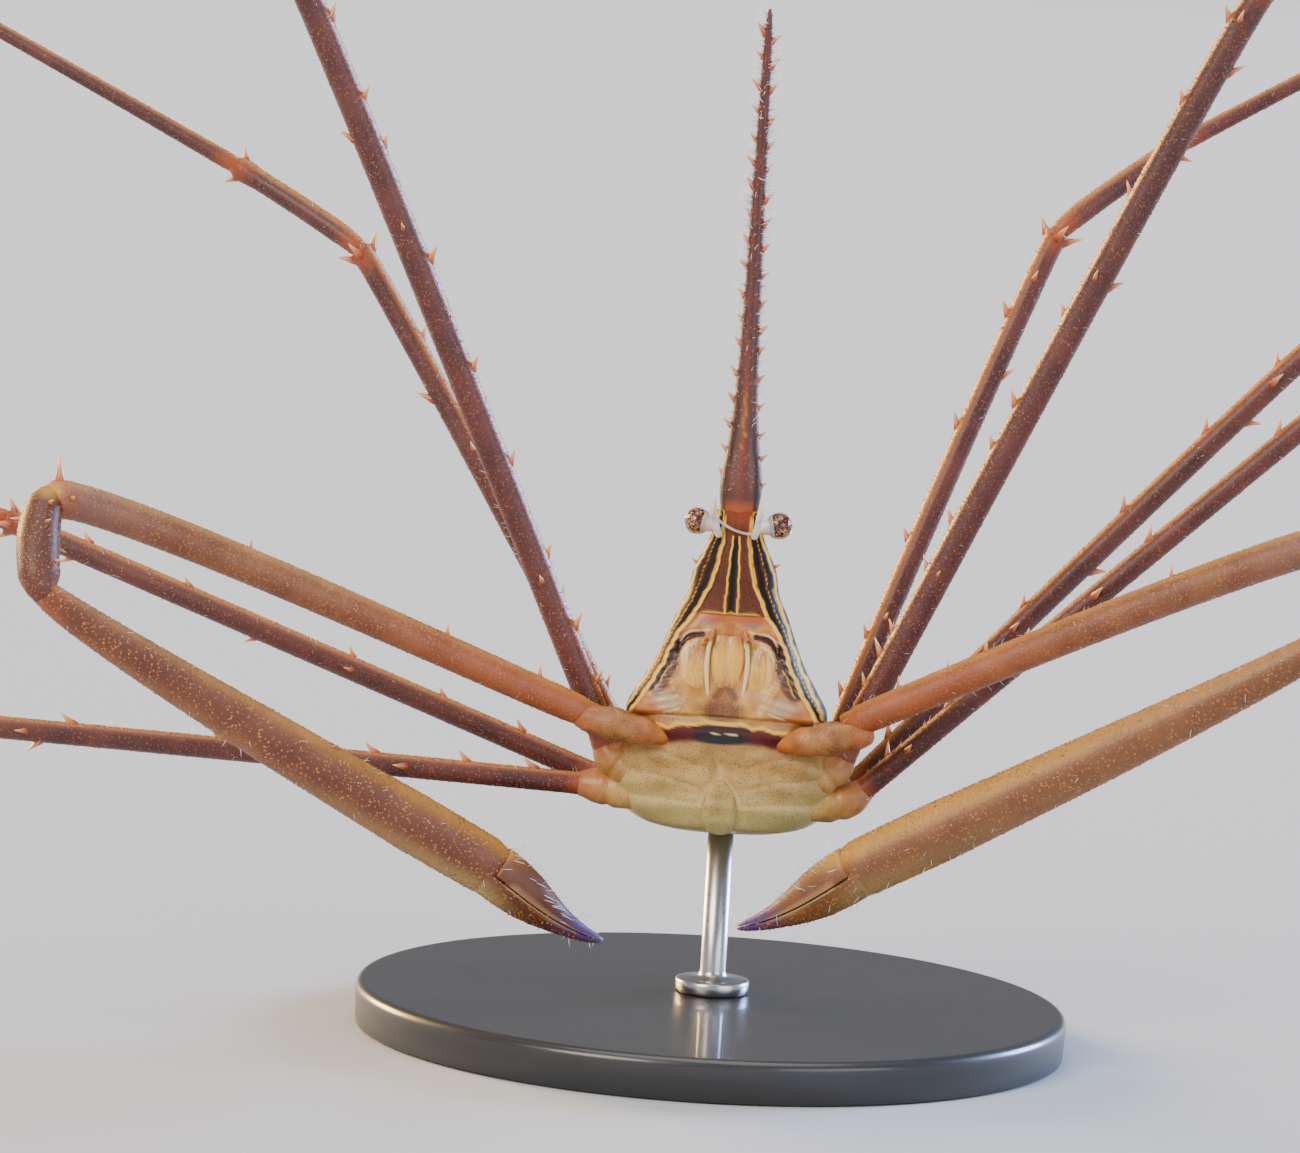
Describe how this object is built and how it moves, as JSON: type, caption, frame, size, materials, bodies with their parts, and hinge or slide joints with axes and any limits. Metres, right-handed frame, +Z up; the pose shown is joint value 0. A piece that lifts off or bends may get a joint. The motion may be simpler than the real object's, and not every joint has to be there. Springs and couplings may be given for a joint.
{
  "type": "yellowline arrow crab model",
  "caption": "Life-size arrow crab with a long spined rostrum, slender raised legs and two bent claws, held over a round base by a short rod.",
  "frame": {"origin": "middle of the underside of the round base", "axes": "+Z up, from the base to the tip of the rostrum; the crab's underside faces -Y; its left side is +X"},
  "size_m": [0.1827, 0.0755, 0.0812],
  "materials": {
    "shell": "satin shell, brown with dark and yellow lines",
    "rostrum": "satin shell, red-brown",
    "belly": "satin shell, pale yellow with fine speckles",
    "mouthpart": "satin shell, pale orange",
    "leg": "satin shell, red-brown with fine pale granules",
    "claw": "satin shell, brown with fine orange granules",
    "finger": "glossy shell, violet at the tips",
    "eye": "glossy, clear grey over a red-brown pattern",
    "base": "satin lacquer",
    "rod": "brushed"
  },
  "bodies": {
    "root": {"stand_base": "base", "stand_rod": "rod", "carapace": "shell", "epistome": "shell", "mouth_frame": "belly", "sternum": "belly", "abdomen": "belly", "rostrum": "rostrum", "maxilliped_left": "mouthpart", "maxilliped_right": "mouthpart", "antenna_left": "mouthpart", "antenna_right": "mouthpart", "eye_left": "eye", "eye_right": "eye", "leg_2_left_merus": "leg", "leg_2_left_carpus": "leg", "leg_2_left_propodus": "leg", "leg_2_left_dactyl": "leg", "leg_2_right_merus": "leg", "leg_2_right_carpus": "leg", "leg_2_right_propodus": "leg", "leg_2_right_dactyl": "leg", "leg_3_left_merus": "leg", "leg_3_left_carpus": "leg", "leg_3_left_propodus": "leg", "leg_3_left_dactyl": "leg", "leg_3_right_merus": "leg", "leg_3_right_carpus": "leg", "leg_3_right_propodus": "leg", "leg_3_right_dactyl": "leg", "leg_4_left_merus": "leg", "leg_4_left_carpus": "leg", "leg_4_left_propodus": "leg", "leg_4_left_dactyl": "leg", "leg_4_right_merus": "leg", "leg_4_right_carpus": "leg", "leg_4_right_propodus": "leg", "leg_4_right_dactyl": "leg", "leg_5_left_merus": "leg", "leg_5_left_carpus": "leg", "leg_5_left_propodus": "leg", "leg_5_left_dactyl": "leg", "leg_5_right_merus": "leg", "leg_5_right_carpus": "leg", "leg_5_right_propodus": "leg", "leg_5_right_dactyl": "leg", "cheliped_left_ischium": "claw", "cheliped_left_merus": "claw", "cheliped_left_carpus": "claw", "cheliped_left_propodus": "claw", "cheliped_left_dactyl": "finger", "cheliped_right_ischium": "claw", "cheliped_right_merus": "claw", "cheliped_right_carpus": "claw", "cheliped_right_propodus": "claw", "cheliped_right_dactyl": "finger"}
  },
  "joints": []
}
